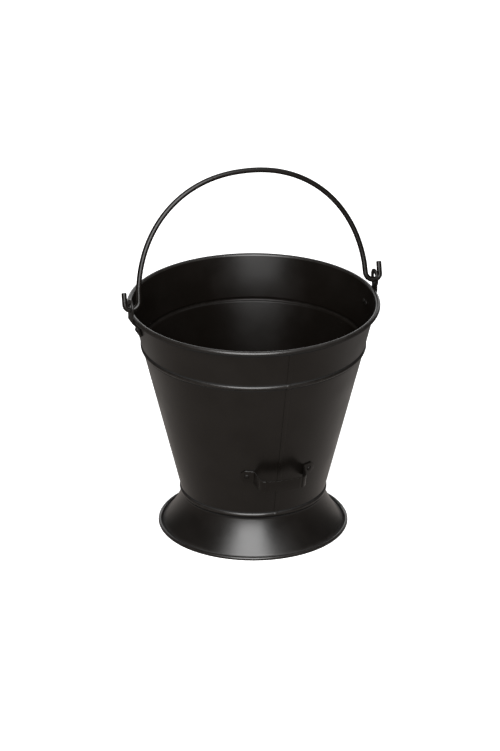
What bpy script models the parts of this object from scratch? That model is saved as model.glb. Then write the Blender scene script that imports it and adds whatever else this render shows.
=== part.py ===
"""Log bucket: a conical sheet-steel body with a wired rim and a lock seam, on a flared foot.

Two riveted ears carry a rod bail, and a strap handle low on the front tips the bucket out.
Metres, +Z up. The origin is the centre of the foot on the floor, X runs through the two ears,
and the seam and the tipping handle are at -Y.
"""

import math

import bmesh
import bpy
from mathutils import Vector

# Sheet and fits
BODY_SHEET = 0.0010
SKIRT_SHEET = 0.0010
PAN_SHEET = 0.0010
SEAT_GAP = 0.0003
HOLE_CLEARANCE = 0.0003
OVERRUN = 0.0040
WELD_DISTANCE = 0.000001
SHARP_ANGLE = math.radians(40)

# Rim, rolled outward over a wire
RIM_DIAMETER = 0.3800
RIM_HEIGHT = 0.3620
RIM_CURL = 0.0076
RIM_CURL_TURN = math.radians(285)

# Waist, where the body sits on its foot
WAIST_DIAMETER = 0.2176
WAIST_HEIGHT = 0.0595
WAIST_BEAD_RISE = 0.0026
WAIST_BEAD_HALF_WIDTH = 0.0038

# Swaged bead below the rim
SWAGE_HEIGHT = 0.2940
SWAGE_RISE = 0.0022
SWAGE_HALF_WIDTH = 0.0035

# Body collar inside the foot, and the lip that carries the floor
COLLAR_HEIGHT = 0.0115
LIP_WIDTH = 0.0050
LIP_BEND = 0.0008

# Lock seam, flattened against the outside
SEAM_WIDTH = 0.0065
SEAM_RISE = 0.0010

# Floor pan
PAN_DEPTH = 0.0125
PAN_BEND = 0.0040

# Flared foot, rolled outward over a wire
FOOT_DIAMETER = 0.2880
FOOT_CURL = 0.0055
FOOT_CURL_TURN = math.radians(250)
FOOT_FLAT = 0.0012
NECK_LENGTH = 0.0022
NECK_BEND = 0.0035
FLARE_TURN = math.radians(28)

# Bail ears
EAR_PLATE = 0.0030
EAR_EYE = 0.0140
EAR_RING = 0.0270
EYE_ABOVE_RIM = 0.0143
EAR_STEP_ANGLE = math.radians(45)
EAR_BEND = 0.0040
EAR_TAIL_LENGTH = 0.0158
EAR_TAIL_WIDTH = 0.0190
EAR_TAIL_CORNER = 0.0030
EAR_RIVET_SPACING = 0.0104
EAR_RIVET_DOWN_SHARE = 0.55

# Bail
BAIL_ROD = 0.0080
BAIL_LEG_INSET = 0.0118
BAIL_RISE = 0.1870
BAIL_FULLNESS = 0.93
BAIL_LEAN = math.radians(14)
BAIL_LEG_BEND = 0.0120
HOOK_STANDOFF = 0.0068
HOOK_LENGTH = 0.0265
HOOK_BEND = 0.0080

# Tipping handle
HANDLE_HEIGHT = 0.1315
HANDLE_LENGTH = 0.1150
STRAP = 0.0020
STRAP_WIDTH = 0.0200
STRAP_CLIP = 0.0060
BOW_WIDTH = 0.0780
BOW_FRONT_WIDTH = 0.0700
BOW_DEPTH = 0.0240
BOW_CROWN = 0.0020
BOW_BEND = 0.0095
BOW_ROOT_BEND = 0.0030

# Rivets
RIVET_SHANK = 0.0040
RIVET_HEAD = 0.0076
RIVET_HEAD_RISE = 0.0020
RIVET_UPSET = 0.0066
RIVET_UPSET_THICKNESS = 0.0012

# Facets round each turned piece, and along each bend
ROUND_STEPS = 60
WIRE_SIDES = 6
RIM_CURL_STEPS = 8
FOOT_CURL_STEPS = 6
FOOT_TUCK_STEPS = 2
NECK_BEND_STEPS = 1
FLARE_STEPS = 4
BEND_STEPS = 3
BEAD_STEPS = 4
EAR_ARC_STEPS = 20
HOLE_SIDES = 24
RIVET_SIDES = 12
HEAD_STEPS = 3
BAIL_ARC_STEPS = 36
BAIL_BEND_STEPS = 5
BAIL_SIDE_RESOLUTION = 2
FOOT_PAD_STEPS = 3
FRONT_STEPS = 4


# The scene
def start_scene():
    """Empties the scene and makes a collection for the bucket and one for its cutters."""
    for old in list(bpy.data.objects):
        bpy.data.objects.remove(old)
    collections = []
    for name in ("log_bucket", "cutters"):
        collection = bpy.data.collections.new(name)
        bpy.context.scene.collection.children.link(collection)
        collections.append(collection)
    return collections


BUCKET, CUTTERS = start_scene()


def paint(obj, colour, roughness, metallic):
    """Gives the object its own finish."""
    finish = bpy.data.materials.new(obj.name + "_finish")
    finish.use_nodes = True
    shader = finish.node_tree.nodes["Principled BSDF"]
    shader.inputs["Base Color"].default_value = (*colour, 1.0)
    shader.inputs["Roughness"].default_value = roughness
    shader.inputs["Metallic"].default_value = metallic
    finish.diffuse_color = (*colour, 1.0)
    obj.data.materials.clear()
    obj.data.materials.append(finish)
    return obj


def paint_black(obj):
    """Satin black stove paint."""
    return paint(obj, (0.019, 0.018, 0.017), 0.38, 0.0)


def paint_steel(obj):
    """Bare drawn wire, closed in by a curl."""
    return paint(obj, (0.32, 0.32, 0.33), 0.45, 1.0)


def make_cutter(obj):
    """Keeps a cutter as a wire helper, out of the bucket."""
    for owner in list(obj.users_collection):
        owner.objects.unlink(obj)
    CUTTERS.objects.link(obj)
    obj.hide_render = True
    obj.display_type = "WIRE"
    return obj


def boolean(obj, operation, cutter):
    """Adds an exact Boolean to the object."""
    modifier = obj.modifiers.new(operation.lower(), "BOOLEAN")
    modifier.operation = operation
    modifier.solver = "EXACT"
    modifier.object = make_cutter(cutter)
    return obj


# Lines and arcs in a plane
def step_along(point, heading, distance):
    """The point that lies the distance away along a heading."""
    return (
        point[0] + distance * math.cos(heading),
        point[1] + distance * math.sin(heading),
    )


def meeting_point(first, first_heading, second, second_heading):
    """Where two lines cross, each given by a point and a heading."""
    turn = math.sin(second_heading - first_heading)
    across = (second[0] - first[0]) * math.sin(second_heading)
    across -= (second[1] - first[1]) * math.cos(second_heading)
    return step_along(first, first_heading, across / turn)


def tangent_heading(point, centre, radius, side):
    """The heading from a point that just touches a circle, which lies on the left (1) or right (-1)."""
    along = centre[0] - point[0]
    up = centre[1] - point[1]
    return math.atan2(up, along) - side * math.asin(radius / math.hypot(along, up))


def roll(centre, radius, heading, turn, steps):
    """Points on an arc, by the heading of travel; a positive turn goes to the left."""
    side = math.copysign(1.0, turn)
    points = []
    for step in range(steps + 1):
        angle = heading + turn * step / steps
        points.append(step_along(centre, angle - side * math.pi / 2, radius))
    return points


def offset_path(points, distance):
    """An open path moved to its left, with mitred corners."""
    normals = []
    for start, end in zip(points, points[1:]):
        run = Vector((end[0] - start[0], end[1] - start[1])).normalized()
        normals.append(Vector((-run.y, run.x)))
    moved = []
    for index, point in enumerate(points):
        before = normals[max(index - 1, 0)]
        after = normals[min(index, len(normals) - 1)]
        move = (before + after) * (distance / (1.0 + before.dot(after)))
        moved.append((point[0] + move.x, point[1] + move.y))
    return moved


def strip_outline(path, thickness):
    """The closed outline of a sheet seen on edge, from the line at the middle of its thickness."""
    left = offset_path(path, thickness / 2)
    right = offset_path(path, -thickness / 2)
    return left + right[::-1]


def rounded(points, radii, steps=BEND_STEPS):
    """An open path whose corners become arcs; a radius of zero keeps its corner."""
    path = [points[0]]
    for before, corner, after, radius in zip(points, points[1:], points[2:], radii):
        if not radius:
            path.append(corner)
            continue
        arriving = math.atan2(corner[1] - before[1], corner[0] - before[0])
        leaving = math.atan2(after[1] - corner[1], after[0] - corner[0])
        turn = math.remainder(leaving - arriving, math.tau)
        setback = radius * abs(math.tan(turn / 2))
        start = step_along(corner, arriving, -setback)
        side = math.copysign(math.pi / 2, turn)
        centre = step_along(start, arriving + side, radius)
        path += roll(centre, radius, arriving, turn, steps)
    return path + [points[-1]]


# Solids
def add_object(name, data):
    """Links a new object to the bucket."""
    obj = bpy.data.objects.new(name, data)
    BUCKET.objects.link(obj)
    return obj


def turned(name, outline, closed=True, steps=ROUND_STEPS):
    """Turns an outline of radius and height about Z."""
    edges = [(index, index + 1) for index in range(len(outline) - 1)]
    if closed:
        edges.append((len(outline) - 1, 0))
    mesh = bpy.data.meshes.new(name)
    mesh.from_pydata([(radius, 0.0, height) for radius, height in outline], edges, [])
    obj = add_object(name, mesh)
    screw = obj.modifiers.new("turn", "SCREW")
    screw.steps = steps
    screw.render_steps = steps
    screw.use_merge_vertices = True
    screw.merge_threshold = WELD_DISTANCE
    screw.use_smooth_shade = True
    return obj


def curve_mesh(curve):
    """Makes a mesh of a curve object, with its caps welded and its round faces smooth."""
    graph = bpy.context.evaluated_depsgraph_get()
    mesh = bpy.data.meshes.new_from_object(curve.evaluated_get(graph))
    shape = bmesh.new()
    shape.from_mesh(mesh)
    bmesh.ops.remove_doubles(shape, verts=shape.verts, dist=WELD_DISTANCE)
    shape.to_mesh(mesh)
    shape.free()
    mesh.shade_smooth()
    mesh.set_sharp_from_angle(angle=SHARP_ANGLE)
    obj = add_object(curve.name + "_mesh", mesh)
    obj.matrix_world = curve.matrix_world
    name = curve.name
    bpy.data.objects.remove(curve)
    obj.name = name
    return obj


def plate(name, outline, thickness, location, rotation):
    """A flat outline in the object's XY plane, as thick as stated and centred on that plane."""
    curve = bpy.data.curves.new(name, "CURVE")
    curve.dimensions = "2D"
    curve.fill_mode = "BOTH"
    curve.extrude = thickness / 2
    spline = curve.splines.new("POLY")
    spline.points.add(len(outline) - 1)
    for point, place in zip(spline.points, outline):
        point.co = (place[0], place[1], 0.0, 1.0)
    spline.use_cyclic_u = True
    obj = add_object(name, curve)
    obj.location = location
    obj.rotation_euler = rotation
    bpy.context.view_layer.update()
    return curve_mesh(obj)


def rod_cutter(name, diameter, length, location, rotation, sides=HOLE_SIDES):
    """A round cutter along the object's Z, centred on its location."""
    shape = bmesh.new()
    bmesh.ops.create_cone(
        shape,
        cap_ends=True,
        segments=sides,
        radius1=diameter / 2,
        radius2=diameter / 2,
        depth=length,
    )
    mesh = bpy.data.meshes.new(name)
    shape.to_mesh(mesh)
    shape.free()
    obj = add_object(name, mesh)
    obj.location = location
    obj.rotation_euler = rotation
    return obj


def wire_ring(name, centre, radius):
    """A wire bent into a full circle, from the centre of its section."""
    bpy.ops.mesh.primitive_torus_add(
        major_segments=ROUND_STEPS,
        minor_segments=WIRE_SIDES,
        major_radius=centre[0],
        minor_radius=radius,
        location=(0.0, 0.0, centre[1]),
    )
    obj = bpy.context.object
    obj.name = name
    obj.data.name = name
    for owner in list(obj.users_collection):
        owner.objects.unlink(obj)
    BUCKET.objects.link(obj)
    obj.data.shade_smooth()
    return obj


# The cone that the body, its seam, its floor, its ears and its handle all follow.
# Sections are drawn with the radius to the right and the height up.
RIM_CENTRE = (RIM_DIAMETER / 2 - RIM_CURL / 2, RIM_HEIGHT - RIM_CURL / 2)
RIM_MIDDLE_RADIUS = (RIM_CURL - BODY_SHEET) / 2
WAIST_POINT = (WAIST_DIAMETER / 2 - BODY_SHEET / 2, WAIST_HEIGHT)
WALL_HEADING = tangent_heading(WAIST_POINT, RIM_CENTRE, RIM_MIDDLE_RADIUS, -1)
WALL_LEAN = math.pi / 2 - WALL_HEADING
WALL_OUTWARD = WALL_HEADING - math.pi / 2
WALL_TOP = step_along(RIM_CENTRE, WALL_OUTWARD, -RIM_MIDDLE_RADIUS)


def wall_point(height, outward=0.0):
    """A point on the middle of the body's sheet at a height, or square off it."""
    rise = (height - WAIST_HEIGHT) / math.sin(WALL_HEADING)
    return step_along(step_along(WAIST_POINT, WALL_HEADING, rise), WALL_OUTWARD, outward)


def wall_below(height, drop, outward=0.0):
    """The same, from a height on the wall and then down its slope."""
    return step_along(wall_point(height, outward), WALL_HEADING, -drop)


def outside_radius(height):
    """The body's radius over the sheet, square off the middle of its thickness at a height."""
    return wall_point(height, BODY_SHEET / 2)


def swage(height, rise, half_width):
    """A bead pressed outward in the wall, from its lower to its upper edge."""
    points = []
    for step in range(BEAD_STEPS + 1):
        share = 2.0 * step / BEAD_STEPS - 1.0
        bulge = rise * (1.0 + math.cos(math.pi * share)) / 2
        points.append(wall_below(height, -share * half_width, bulge))
    return points


def segment_sag(radius):
    """How far the flats of a turned piece lie inside its true radius."""
    return radius * (1.0 - math.cos(math.pi / ROUND_STEPS))


WAIST_BEAD = swage(WAIST_HEIGHT, WAIST_BEAD_RISE, WAIST_BEAD_HALF_WIDTH)
SWAGE_BEAD = swage(SWAGE_HEIGHT, SWAGE_RISE, SWAGE_HALF_WIDTH)
COLLAR_END = wall_point(WAIST_HEIGHT - COLLAR_HEIGHT)


# Body
def body_path():
    """The middle of the sheet, from the lip under the floor to the end of the rim's curl."""
    lip_edge = (COLLAR_END[0] - LIP_WIDTH, COLLAR_END[1])
    lip = rounded([lip_edge, COLLAR_END, WAIST_BEAD[0]], [LIP_BEND])
    curl = roll(
        RIM_CENTRE, RIM_MIDDLE_RADIUS, WALL_HEADING, -RIM_CURL_TURN, RIM_CURL_STEPS
    )
    return lip + WAIST_BEAD[1:] + SWAGE_BEAD + curl


def seam_outline():
    """The folded seam on edge, from the waist bead's crest up over the swage to the curl."""
    crest = BEAD_STEPS // 2
    high = step_along(WALL_TOP, WALL_HEADING, -RIM_CURL / 2 - SEAT_GAP)
    path = WAIST_BEAD[crest:] + SWAGE_BEAD + [high]
    return path + offset_path(path, -BODY_SHEET / 2 - SEAM_RISE)[::-1]


def make_body():
    body = turned("body_shell", strip_outline(body_path(), BODY_SHEET))
    seam = plate(
        "seam_fold",
        seam_outline(),
        SEAM_WIDTH,
        (0.0, 0.0, 0.0),
        (math.pi / 2, 0.0, -math.pi / 2),
    )
    boolean(body, "UNION", seam)
    return paint_black(body)


def make_rim_wire():
    inside_radius = RIM_CURL / 2 - BODY_SHEET
    wire = wire_ring("rim_wire", RIM_CENTRE, inside_radius - SEAT_GAP)
    return paint_steel(wire)


# Floor
def make_floor_pan():
    inward = BODY_SHEET / 2 + SEAT_GAP + PAN_SHEET / 2
    lip_top = COLLAR_END[1] + BODY_SHEET / 2
    flange_end = wall_point(lip_top + SEAT_GAP, -inward)
    rise = PAN_DEPTH / math.sin(WALL_HEADING)
    corner = step_along(flange_end, WALL_HEADING, rise)
    path = rounded([(0.0, corner[1]), corner, flange_end], [PAN_BEND])
    return paint_black(turned("floor_pan", strip_outline(path, PAN_SHEET), closed=False))


# Foot
def foot_centres():
    """The centres of the two arcs of the foot's curl, either side of its flat."""
    height = FOOT_CURL / 2
    outer = FOOT_DIAMETER / 2 - FOOT_CURL / 2
    return (outer - FOOT_FLAT, height), (outer, height)


def skirt_path():
    """The middle of the foot's sheet, from the neck under the waist bead to the end of its curl."""
    outward = BODY_SHEET / 2 + SEAT_GAP + SKIRT_SHEET / 2
    neck_top = wall_below(WAIST_HEIGHT, WAIST_BEAD_HALF_WIDTH + SEAT_GAP, outward)
    neck_end = step_along(neck_top, WALL_HEADING, -NECK_LENGTH)
    inner_centre, outer_centre = foot_centres()
    radius = (FOOT_CURL - SKIRT_SHEET) / 2
    half_turn = FLARE_TURN / 2
    chord = tangent_heading(neck_end, inner_centre, radius * math.cos(half_turn), 1)
    heading = chord + half_turn
    under = roll(inner_centre, radius, heading, -heading, FOOT_TUCK_STEPS)
    over = roll(outer_centre, radius, 0.0, FOOT_CURL_TURN + heading, FOOT_CURL_STEPS)
    flare_radius = math.dist(neck_end, under[0]) / 2 / math.sin(half_turn)
    outside = chord - half_turn + math.pi / 2
    flare_centre = step_along(neck_end, outside, flare_radius)
    flare = roll(flare_centre, flare_radius, chord - half_turn, FLARE_TURN, FLARE_STEPS)
    neck = rounded([neck_top] + flare[:2], [NECK_BEND], NECK_BEND_STEPS)
    return neck[:-1] + flare[1:-1] + under + over


def make_foot_skirt():
    return paint_black(turned("foot_skirt", strip_outline(skirt_path(), SKIRT_SHEET)))


def make_foot_wire():
    inside_radius = FOOT_CURL / 2 - SKIRT_SHEET
    wire = wire_ring("foot_wire", foot_centres()[1], inside_radius - SEAT_GAP)
    return paint_steel(wire)


# Rivets
def rivet_outline(grip, drop):
    """Half a rivet on edge, from its domed head down to its upset end inside the body.

    Height zero is the outside of the body's sheet. The grip is the plate held on it, and the
    drop is how much farther in the sheet's flats lie there.
    """
    seat = SEAT_GAP + grip + SEAT_GAP
    inside = -BODY_SHEET - drop - SEAT_GAP
    dome = []
    for step in range(HEAD_STEPS + 1):
        angle = math.pi / 2 * step / HEAD_STEPS
        radius = RIVET_HEAD / 2 * math.sin(angle)
        dome.append((radius, seat + RIVET_HEAD_RISE * math.cos(angle)))
    stem = [
        (RIVET_SHANK / 2, seat),
        (RIVET_SHANK / 2, inside),
        (RIVET_UPSET / 2, inside),
        (RIVET_UPSET / 2, inside - RIVET_UPSET_THICKNESS),
        (0.0, inside - RIVET_UPSET_THICKNESS),
    ]
    return dome + stem


def make_rivet(name, grip, drop, location, rotation, held):
    """Makes a rivet, and drills its hole through the pieces that it holds."""
    rivet = turned(name, rivet_outline(grip, drop), closed=False, steps=RIVET_SIDES)
    rivet.location = location
    rivet.rotation_euler = rotation
    for piece in held:
        drill = rod_cutter(
            name + "_hole",
            RIVET_SHANK + 2 * HOLE_CLEARANCE,
            2 * (OVERRUN + grip),
            location,
            rotation,
            RIVET_SIDES,
        )
        boolean(piece, "DIFFERENCE", drill)
    return paint_black(rivet)


# Ears
EYE_HEIGHT = RIM_HEIGHT + EYE_ABOVE_RIM
EAR_CLEAR = RIM_CURL / 2 + SEAT_GAP + EAR_PLATE / 2
EAR_FACE = RIM_CENTRE[0] + EAR_CLEAR
TAIL_OUTWARD = BODY_SHEET / 2 + SEAT_GAP + EAR_PLATE / 2


def ear_corners():
    """Where the plate bends: in under the rim's curl, and down the wall."""
    half_step = EAR_STEP_ANGLE / 2
    under_rim = step_along(RIM_CENTRE, -half_step, EAR_CLEAR / math.cos(half_step))
    step_heading = -math.pi / 2 - EAR_STEP_ANGLE
    tail_line = wall_point(RIM_CENTRE[1], TAIL_OUTWARD)
    on_wall = meeting_point(under_rim, step_heading, tail_line, WALL_HEADING)
    return under_rim, on_wall


def ear_section():
    """The ear's plate on edge, from above the eye down to its tail."""
    under_rim, on_wall = ear_corners()
    top = (EAR_FACE, EYE_HEIGHT + EAR_RING / 2 + OVERRUN)
    end = step_along(on_wall, WALL_HEADING, -EAR_TAIL_LENGTH - OVERRUN)
    path = rounded([top, under_rim, on_wall, end], [EAR_CLEAR, EAR_BEND])
    return strip_outline(path, EAR_PLATE)


def ear_front():
    """The ear seen from outside: a ring round the eye, running into a narrower tail."""
    tail_end = step_along(ear_corners()[1], WALL_HEADING, -EAR_TAIL_LENGTH)[1]
    half = EAR_TAIL_WIDTH / 2
    neck = math.acos(half / (EAR_RING / 2))
    ring = []
    for step in range(EAR_ARC_STEPS + 1):
        angle = -neck + (math.pi + 2 * neck) * step / EAR_ARC_STEPS
        ring.append(step_along((0.0, EYE_HEIGHT), angle, EAR_RING / 2))
    left = [ring[-1], (-half, tail_end), (half, tail_end), ring[0]]
    tail = rounded(left, [EAR_TAIL_CORNER, EAR_TAIL_CORNER])
    return ring + tail[1:-1]


def make_ear(side, azimuth, body):
    """One ear with its two rivets."""
    ear = plate(
        "ear_" + side,
        ear_section(),
        EAR_RING + 2 * OVERRUN,
        (0.0, 0.0, 0.0),
        (math.pi / 2, 0.0, azimuth),
    )
    across = (math.pi / 2, 0.0, azimuth + math.pi / 2)
    face = (EAR_FACE * math.cos(azimuth), EAR_FACE * math.sin(azimuth))
    on_wall = ear_corners()[1]
    tail_end = step_along(on_wall, WALL_HEADING, -EAR_TAIL_LENGTH)
    depth = 2 * (EAR_FACE - tail_end[0] + EAR_PLATE + OVERRUN)
    front = plate("front_" + side, ear_front(), depth, (*face, 0.0), across)
    boolean(ear, "INTERSECT", front)
    eye_depth = EAR_PLATE + 2 * OVERRUN
    eye = rod_cutter("eye_" + side, EAR_EYE, eye_depth, (*face, EYE_HEIGHT), across)
    boolean(ear, "DIFFERENCE", eye)
    down = EAR_TAIL_LENGTH * EAR_RIVET_DOWN_SHARE
    seat = step_along(on_wall, WALL_HEADING, -down)
    seat = step_along(seat, WALL_OUTWARD, BODY_SHEET / 2 - TAIL_OUTWARD)
    reach = EAR_RIVET_SPACING / 2 + RIVET_UPSET / 2
    drop = reach * math.tan(math.pi / ROUND_STEPS)
    rotation = (0.0, math.pi / 2 + WALL_LEAN, azimuth)
    for label, shift in (("front", -1), ("back", 1)):
        along = shift * EAR_RIVET_SPACING / 2
        location = (seat[0] * math.cos(azimuth), along, seat[1])
        name = "ear_rivet_" + side + "_" + label
        make_rivet(name, EAR_PLATE, drop, location, rotation, (ear, body))
    return paint_black(ear)


# Bail
def bail_points():
    """The rod's middle line in the bail's own plane: along the ears, and up from their eyes."""
    half = EAR_FACE - EAR_PLATE / 2 - BAIL_LEG_INSET
    arch = []
    for step in range(BAIL_ARC_STEPS + 1):
        angle = math.pi * step / BAIL_ARC_STEPS
        level = max(math.sin(angle), 0.0) ** BAIL_FULLNESS
        reach = abs(math.cos(angle)) ** BAIL_FULLNESS
        along = math.copysign(reach, math.cos(angle))
        arch.append((half * along, BAIL_RISE * level))
    hook = EAR_FACE + EAR_PLATE / 2 + HOOK_STANDOFF
    right = [(hook, HOOK_LENGTH), (hook, 0.0), arch[0]]
    left = [arch[-1], (-hook, 0.0), (-hook, HOOK_LENGTH)]
    above = [point for point in arch if point[1] > 2 * BAIL_LEG_BEND]
    radii = [HOOK_BEND, BAIL_LEG_BEND]
    radii += [0.0] * len(above)
    radii += [BAIL_LEG_BEND, HOOK_BEND]
    return rounded(right + above + left, radii, BAIL_BEND_STEPS)


def make_bail():
    curve = bpy.data.curves.new("bail", "CURVE")
    curve.dimensions = "3D"
    curve.bevel_depth = BAIL_ROD / 2
    curve.bevel_resolution = BAIL_SIDE_RESOLUTION
    curve.use_fill_caps = True
    points = bail_points()
    spline = curve.splines.new("POLY")
    spline.points.add(len(points) - 1)
    for point, place in zip(spline.points, points):
        point.co = (place[0], 0.0, place[1], 1.0)
    spline.use_smooth = True
    bail = add_object("bail", curve)
    slack = EAR_EYE / 2 - BAIL_ROD / 2 - SEAT_GAP
    bail.location = (0.0, 0.0, EYE_HEIGHT - slack)
    bail.rotation_euler = (-BAIL_LEAN, 0.0, 0.0)
    return paint_black(bail)


# Tipping handle
def handle_seat():
    """Where the handle's middle meets the body, and the radius that its feet are bent to."""
    radius, height = outside_radius(HANDLE_HEIGHT)
    return (0.0, -radius, height), radius / math.cos(WALL_LEAN)


def strap_path():
    """The middle of the strap seen from above, with the body's surface at zero."""
    body_radius = handle_seat()[1]
    bend = body_radius + SEAT_GAP + STRAP / 2
    end = math.asin((HANDLE_LENGTH / 2 + OVERRUN) / bend)
    root = math.asin(BOW_WIDTH / 2 / bend)
    foot = []
    for step in range(FOOT_PAD_STEPS + 1):
        angle = end + (root - end) * step / FOOT_PAD_STEPS
        foot.append((bend * math.sin(angle), bend * math.cos(angle) - body_radius))
    half = BOW_FRONT_WIDTH / 2
    front = []
    for step in range(FRONT_STEPS + 1):
        share = 1.0 - 2.0 * step / FRONT_STEPS
        front.append((half * share, BOW_DEPTH - BOW_CROWN * share**2))
    far_foot = [(-across, out) for across, out in reversed(foot)]
    plain = [0.0] * (FOOT_PAD_STEPS - 1)
    flat = [0.0] * (FRONT_STEPS - 1)
    bends = [BOW_ROOT_BEND, BOW_BEND]
    radii = plain + bends + flat + bends[::-1] + plain
    return rounded(foot + front + far_foot, radii)


def strap_front():
    """The strap seen from the front, its ends clipped at the corners."""
    half = HANDLE_LENGTH / 2
    high = STRAP_WIDTH / 2
    outline = []
    for across, up in ((1, 1), (-1, 1), (-1, -1), (1, -1)):
        side = (across * half, up * (high - STRAP_CLIP))
        edge = (across * (half - STRAP_CLIP), up * high)
        outline += [side, edge] if across == up else [edge, side]
    return outline


def make_handle(body):
    """The strap with its two rivets."""
    seat, body_radius = handle_seat()
    lean = math.pi / 2 + WALL_LEAN
    outline = strip_outline(strap_path(), STRAP)
    flat_on = (lean + math.pi / 2, 0.0, 0.0)
    handle = plate("tipping_handle", outline, STRAP_WIDTH, seat, flat_on)
    depth = 2 * (BOW_DEPTH + STRAP + OVERRUN)
    front = plate("strap_front", strap_front(), depth, seat, (lean, 0.0, 0.0))
    boolean(handle, "INTERSECT", front)
    middle = (HANDLE_LENGTH / 2 + BOW_WIDTH / 2) / 2
    swing = math.asin(middle / body_radius)
    inward = Vector((0.0, math.cos(WALL_LEAN), math.sin(WALL_LEAN)))
    drop = segment_sag(body_radius) + RIVET_UPSET**2 / (8 * body_radius)
    for label, side in (("left", -1), ("right", 1)):
        across = side * body_radius * math.sin(swing)
        back = inward * body_radius * (1.0 - math.cos(swing))
        location = (across, seat[1] + back.y, seat[2] + back.z)
        axis = Vector((side * math.sin(swing), 0.0, 0.0)) - inward * math.cos(swing)
        rotation = axis.to_track_quat("Z", "Y").to_euler()
        make_rivet(
            "handle_rivet_" + label, STRAP, drop, location, rotation, (handle, body)
        )
    return paint_black(handle)


body_shell = make_body()
make_rim_wire()
make_floor_pan()
make_foot_skirt()
make_foot_wire()
make_ear("right", 0.0, body_shell)
make_ear("left", math.pi, body_shell)
make_bail()
make_handle(body_shell)
bpy.context.view_layer.update()
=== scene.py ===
# %% [markdown]
# # A log bucket for the hearth
#
# The real bucket is turned, rolled and riveted from thin sheet steel, and then sprayed with
# satin black stove paint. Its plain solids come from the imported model, which is the frame of
# this scene. Here each of them is made again with finer and rounder forms, gets its paint, and
# is lit and looked at as in the photograph.
#
# Everything is in metres. Z is up, X runs through the two ears that hold the carrying handle,
# and the seam and the tipping handle are on the -Y side.

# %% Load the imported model
import math

import bmesh
import bpy
from mathutils import Matrix, Vector


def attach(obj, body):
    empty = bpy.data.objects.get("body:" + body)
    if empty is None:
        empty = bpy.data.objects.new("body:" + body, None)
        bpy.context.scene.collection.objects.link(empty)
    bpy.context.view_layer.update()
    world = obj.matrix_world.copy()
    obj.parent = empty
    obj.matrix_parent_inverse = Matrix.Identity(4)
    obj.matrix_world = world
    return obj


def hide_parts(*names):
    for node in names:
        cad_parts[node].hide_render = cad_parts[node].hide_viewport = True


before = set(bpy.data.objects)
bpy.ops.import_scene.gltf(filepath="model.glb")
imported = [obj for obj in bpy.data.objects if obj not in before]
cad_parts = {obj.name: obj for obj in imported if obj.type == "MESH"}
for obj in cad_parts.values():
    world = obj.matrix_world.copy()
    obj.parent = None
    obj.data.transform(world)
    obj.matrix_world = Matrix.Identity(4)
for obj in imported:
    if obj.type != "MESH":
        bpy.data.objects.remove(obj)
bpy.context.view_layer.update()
scene = bpy.context.scene
print("nodes:", sorted(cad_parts))

# %% [markdown]
# ## The camera
#
# The photograph looks down on the bucket from about 24 degrees, a little to the left of its
# seam. Its rim and its foot are seen at almost the same angle, which takes a long lens from
# far away. A camera could be aimed with a Track To constraint, but the other views move this
# one freely, so its place and turn are worked out once.

# %% Place the camera
CAMERA_AZIMUTH = -18.0
CAMERA_ELEVATION = 24.17
CAMERA_ROLL = 0.1
CAMERA_DISTANCE = 8.0
CAMERA_LENS = 254.8
AIM_RIGHT = -0.0050
AIM_HEIGHT = 0.2406


def direction(azimuth, elevation):
    """The way out from the bucket, with azimuth 0 towards -Y and 90 towards +X."""
    turn = math.radians(azimuth)
    rise = math.radians(elevation)
    return Vector(
        (
            math.sin(turn) * math.cos(rise),
            -math.cos(turn) * math.cos(rise),
            math.sin(rise),
        )
    )


def sideways(azimuth):
    """The way to the right in a picture taken from this azimuth."""
    turn = math.radians(azimuth)
    return Vector((math.cos(turn), math.sin(turn), 0.0))


camera_data = bpy.data.cameras.new("camera")
camera_data.lens = CAMERA_LENS
camera = bpy.data.objects.new("camera", camera_data)
scene.collection.objects.link(camera)
outward = direction(CAMERA_AZIMUTH, CAMERA_ELEVATION)
aim = sideways(CAMERA_AZIMUTH) * AIM_RIGHT + Vector((0.0, 0.0, AIM_HEIGHT))
camera.location = aim + outward * CAMERA_DISTANCE
level = (-outward).to_track_quat("-Z", "Y").to_matrix()
camera.rotation_euler = (level @ Matrix.Rotation(math.radians(CAMERA_ROLL), 3, "Z")).to_euler()
scene.camera = camera
print("camera at", [round(value, 3) for value in camera.location])

# %% [markdown]
# ## Nodes, one line each
#
# The floor, the room and all the paint are shader nodes, and a node takes several lines of
# code to place and to connect. So each kind that is used often gets a helper that returns the
# node's output. The materials further down then read almost like sums.


# %% Helpers that place one node
def calculate(tree, operation, first, second, clamp=False):
    """A Math node. Each of its two inputs is a socket or a number."""
    node = tree.nodes.new("ShaderNodeMath")
    node.operation = operation
    node.use_clamp = clamp
    for socket, value in zip(node.inputs, (first, second)):
        if isinstance(value, (int, float)):
            socket.default_value = value
        else:
            tree.links.new(value, socket)
    return node.outputs["Value"]


def add_noise(tree, position, scale, detail=2.0, roughness=0.5):
    """A Noise texture over a position. The scale is in waves per metre."""
    node = tree.nodes.new("ShaderNodeTexNoise")
    node.inputs["Detail"].default_value = detail
    node.inputs["Roughness"].default_value = roughness
    tree.links.new(position, node.inputs["Vector"])
    if isinstance(scale, (int, float)):
        node.inputs["Scale"].default_value = scale
    else:
        tree.links.new(scale, node.inputs["Scale"])
    return node.outputs["Fac"]


def add_ramp(tree, value, low, high):
    """Zero below the low value, one above the high one, smooth between them."""
    node = tree.nodes.new("ShaderNodeMapRange")
    node.interpolation_type = "SMOOTHSTEP"
    node.inputs["From Min"].default_value = low
    node.inputs["From Max"].default_value = high
    tree.links.new(value, node.inputs["Value"])
    return node.outputs["Result"]


def map_place(tree, position, label, value):
    """A Mapping node that turns or scales a position."""
    node = tree.nodes.new("ShaderNodeMapping")
    node.inputs[label].default_value = value
    tree.links.new(position, node.inputs["Vector"])
    return node.outputs["Vector"]


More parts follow.
